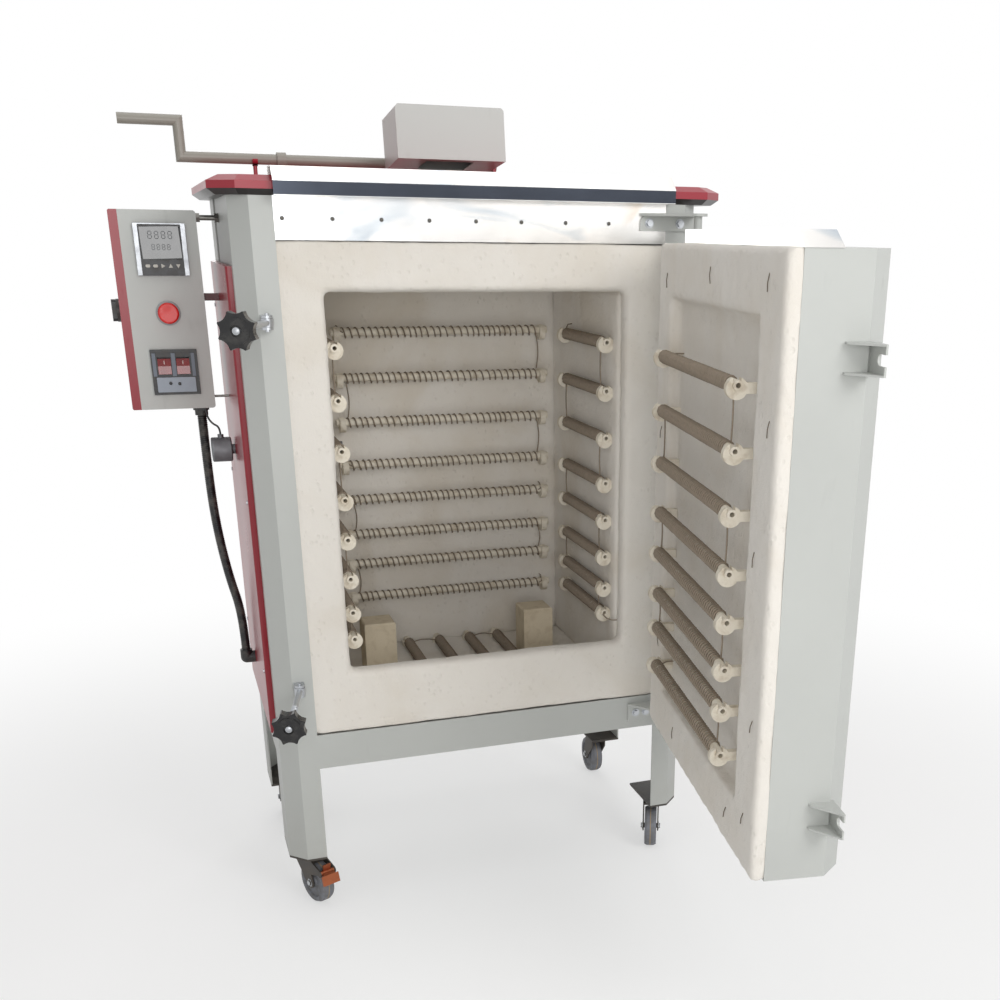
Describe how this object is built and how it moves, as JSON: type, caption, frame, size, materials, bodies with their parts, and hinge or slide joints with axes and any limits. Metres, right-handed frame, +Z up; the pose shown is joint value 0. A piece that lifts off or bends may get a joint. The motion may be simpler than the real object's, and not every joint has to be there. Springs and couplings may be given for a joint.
{
  "type": "ceramic kiln",
  "caption": "Front-loading electric ceramic kiln on castors with a side-hinged door, swing-bolt latches, wound elements on ceramic tubes, a tipping roof vent and a controller box.",
  "frame": {"origin": "on the floor, below the middle of the whole object with its door open as drawn", "axes": "+Z up, +Y back into the chamber, +X to the right as seen from the front"},
  "size_m": [1.168, 1.5034, 1.6084],
  "materials": {
    "painted_grey": "satin",
    "painted_red": "satin",
    "polished_steel": "polished",
    "fibre": "matte",
    "fire_brick": "matte",
    "element_ceramic": "matte",
    "element_wire": "matte",
    "zinc": "satin",
    "stainless": "satin",
    "black_metal": "satin",
    "castor_wheel": "satin",
    "pedal_copper": "satin",
    "black_plastic": "satin",
    "red_plastic": "gloss",
    "conduit_black": "satin",
    "cast_aluminium": "satin"
  },
  "bodies": {
    "cabinet": {"post_front_left": "painted_grey", "post_front_right": "painted_grey", "post_rear_left": "painted_grey", "post_rear_right": "painted_grey", "frame_rails": "painted_grey", "body_panels": "painted_grey", "hinge_brackets": "painted_grey", "controller_box": "painted_grey", "side_covers": "painted_red", "roof_pan": "painted_red", "controller_lid": "painted_red", "roof_hood": "polished_steel", "heat_shield": "polished_steel", "lining_collar": "fibre", "lining_left": "fibre", "lining_right": "fibre", "lining_back": "fibre", "lining_floor": "fibre", "lining_roof": "fibre", "kiln_props": "fire_brick", "ceramics_back": "element_ceramic", "ceramics_sides": "element_ceramic", "tubes_floor": "element_ceramic", "coils_chamber": "element_wire", "latch_ears": "zinc", "front_fasteners": "zinc", "box_arms": "zinc", "vent_sleeve": "stainless", "foot_plates": "black_metal", "switch_panel": "black_plastic", "temperature_controller": "black_plastic", "conduit_fittings": "black_plastic", "conduit": "conduit_black", "sensor_lead": "conduit_black", "thermocouple": "cast_aluminium"},
    "door": {"door_shell": "painted_grey", "door_lining": "fibre", "door_cap": "polished_steel", "ceramics_door": "element_ceramic", "coils_door": "element_wire", "latch_forks": "painted_grey"},
    "vent": {"vent_cap": "painted_grey", "vent_lever": "painted_grey"},
    "bolt_upper": {"swing_bolt_upper": "zinc"},
    "bolt_lower": {"swing_bolt_lower": "zinc"},
    "knob_upper": {"star_knob_upper": "black_plastic"},
    "knob_lower": {"star_knob_lower": "black_plastic"},
    "stop": {"stop_button": "red_plastic"},
    "rocker_a": {"rocker_left": "red_plastic"},
    "rocker_b": {"rocker_right": "red_plastic"},
    "switch": {"main_switch": "black_plastic"},
    "pedal": {"brake_pedal": "pedal_copper"},
    "fork_front_left": {"castor_fork_front_left": "black_metal"},
    "wheel_front_left": {"castor_wheel_front_left": "castor_wheel"},
    "fork_front_right": {"castor_fork_front_right": "black_metal"},
    "wheel_front_right": {"castor_wheel_front_right": "castor_wheel"},
    "fork_rear_left": {"castor_fork_rear_left": "black_metal"},
    "wheel_rear_left": {"castor_wheel_rear_left": "castor_wheel"},
    "fork_rear_right": {"castor_fork_rear_right": "black_metal"},
    "wheel_rear_right": {"castor_wheel_rear_right": "castor_wheel"}
  },
  "joints": [
    {"name": "door_swing", "type": "hinge", "parent": "cabinet", "child": "door", "pos_m": [0.488, 0.06771, 0.88], "axis": [0, 0, 1], "range_deg": [-80.8, 79]},
    {"name": "vent_lift", "type": "hinge", "parent": "cabinet", "child": "vent", "pos_m": [0.082, 0.50471, 1.508], "axis": [-1, 0, 0], "range_deg": [-6.5, 80]},
    {"name": "bolt_swing_upper", "type": "hinge", "parent": "cabinet", "child": "bolt_upper", "pos_m": [-0.321, 0.13871, 1.222], "axis": [0, 0, 1], "range_deg": [-55.5, 19.5]},
    {"name": "knob_spin_upper", "type": "hinge", "parent": "bolt_upper", "child": "knob_upper", "pos_m": [-0.321, 0.13871, 1.222], "axis": [-0.3338, -0.9426, 0], "continuous": true},
    {"name": "bolt_swing_lower", "type": "hinge", "parent": "cabinet", "child": "bolt_lower", "pos_m": [-0.321, 0.13871, 0.515], "axis": [0, 0, 1], "range_deg": [-62.4, 12.6]},
    {"name": "knob_spin_lower", "type": "hinge", "parent": "bolt_lower", "child": "knob_lower", "pos_m": [-0.321, 0.13871, 0.515], "axis": [-0.2181, -0.9759, 0], "continuous": true},
    {"name": "stop_press", "type": "slide", "parent": "cabinet", "child": "stop", "axis": [0, 1, 0], "range_m": [0, 0.004]},
    {"name": "rocker_a_tip", "type": "hinge", "parent": "cabinet", "child": "rocker_a", "pos_m": [-0.499, 0.45471, 1.12], "axis": [1, 0, 0], "range_deg": [-16, 0]},
    {"name": "rocker_b_tip", "type": "hinge", "parent": "cabinet", "child": "rocker_b", "pos_m": [-0.4635, 0.45471, 1.12], "axis": [1, 0, 0], "range_deg": [-16, 0]},
    {"name": "switch_turn", "type": "hinge", "parent": "cabinet", "child": "switch", "pos_m": [-0.584, 0.50971, 1.224], "axis": [-1, 0, 0], "range_deg": [0, 90]},
    {"name": "swivel_front_left", "type": "hinge", "parent": "cabinet", "child": "fork_front_left", "pos_m": [-0.326, 0.22971, 0.11], "axis": [0, 0, 1], "continuous": true},
    {"name": "roll_front_left", "type": "hinge", "parent": "fork_front_left", "child": "wheel_front_left", "pos_m": [-0.31324, 0.20036, 0.0475], "axis": [-0.9171, -0.3987, 0], "continuous": true},
    {"name": "swivel_front_right", "type": "hinge", "parent": "cabinet", "child": "fork_front_right", "pos_m": [0.49, 0.22971, 0.11], "axis": [0, 0, 1], "continuous": true},
    {"name": "roll_front_right", "type": "hinge", "parent": "fork_front_right", "child": "wheel_front_right", "pos_m": [0.4775, 0.20025, 0.0475], "axis": [-0.9205, 0.3907, 0], "continuous": true},
    {"name": "swivel_rear_left", "type": "hinge", "parent": "cabinet", "child": "fork_rear_left", "pos_m": [-0.326, 0.62471, 0.11], "axis": [0, 0, 1], "continuous": true},
    {"name": "roll_rear_left", "type": "hinge", "parent": "fork_rear_left", "child": "wheel_rear_left", "pos_m": [-0.326, 0.65671, 0.0475], "axis": [1, 0, 0], "continuous": true},
    {"name": "swivel_rear_right", "type": "hinge", "parent": "cabinet", "child": "fork_rear_right", "pos_m": [0.49, 0.62471, 0.11], "axis": [0, 0, 1], "continuous": true},
    {"name": "roll_rear_right", "type": "hinge", "parent": "fork_rear_right", "child": "wheel_rear_right", "pos_m": [0.49, 0.65671, 0.0475], "axis": [1, 0, 0], "continuous": true},
    {"name": "pedal_press", "type": "hinge", "parent": "fork_front_left", "child": "pedal", "pos_m": [-0.29649, 0.16185, 0.084], "axis": [-0.9171, -0.3987, 0], "range_deg": [-9, 0]}
  ]
}
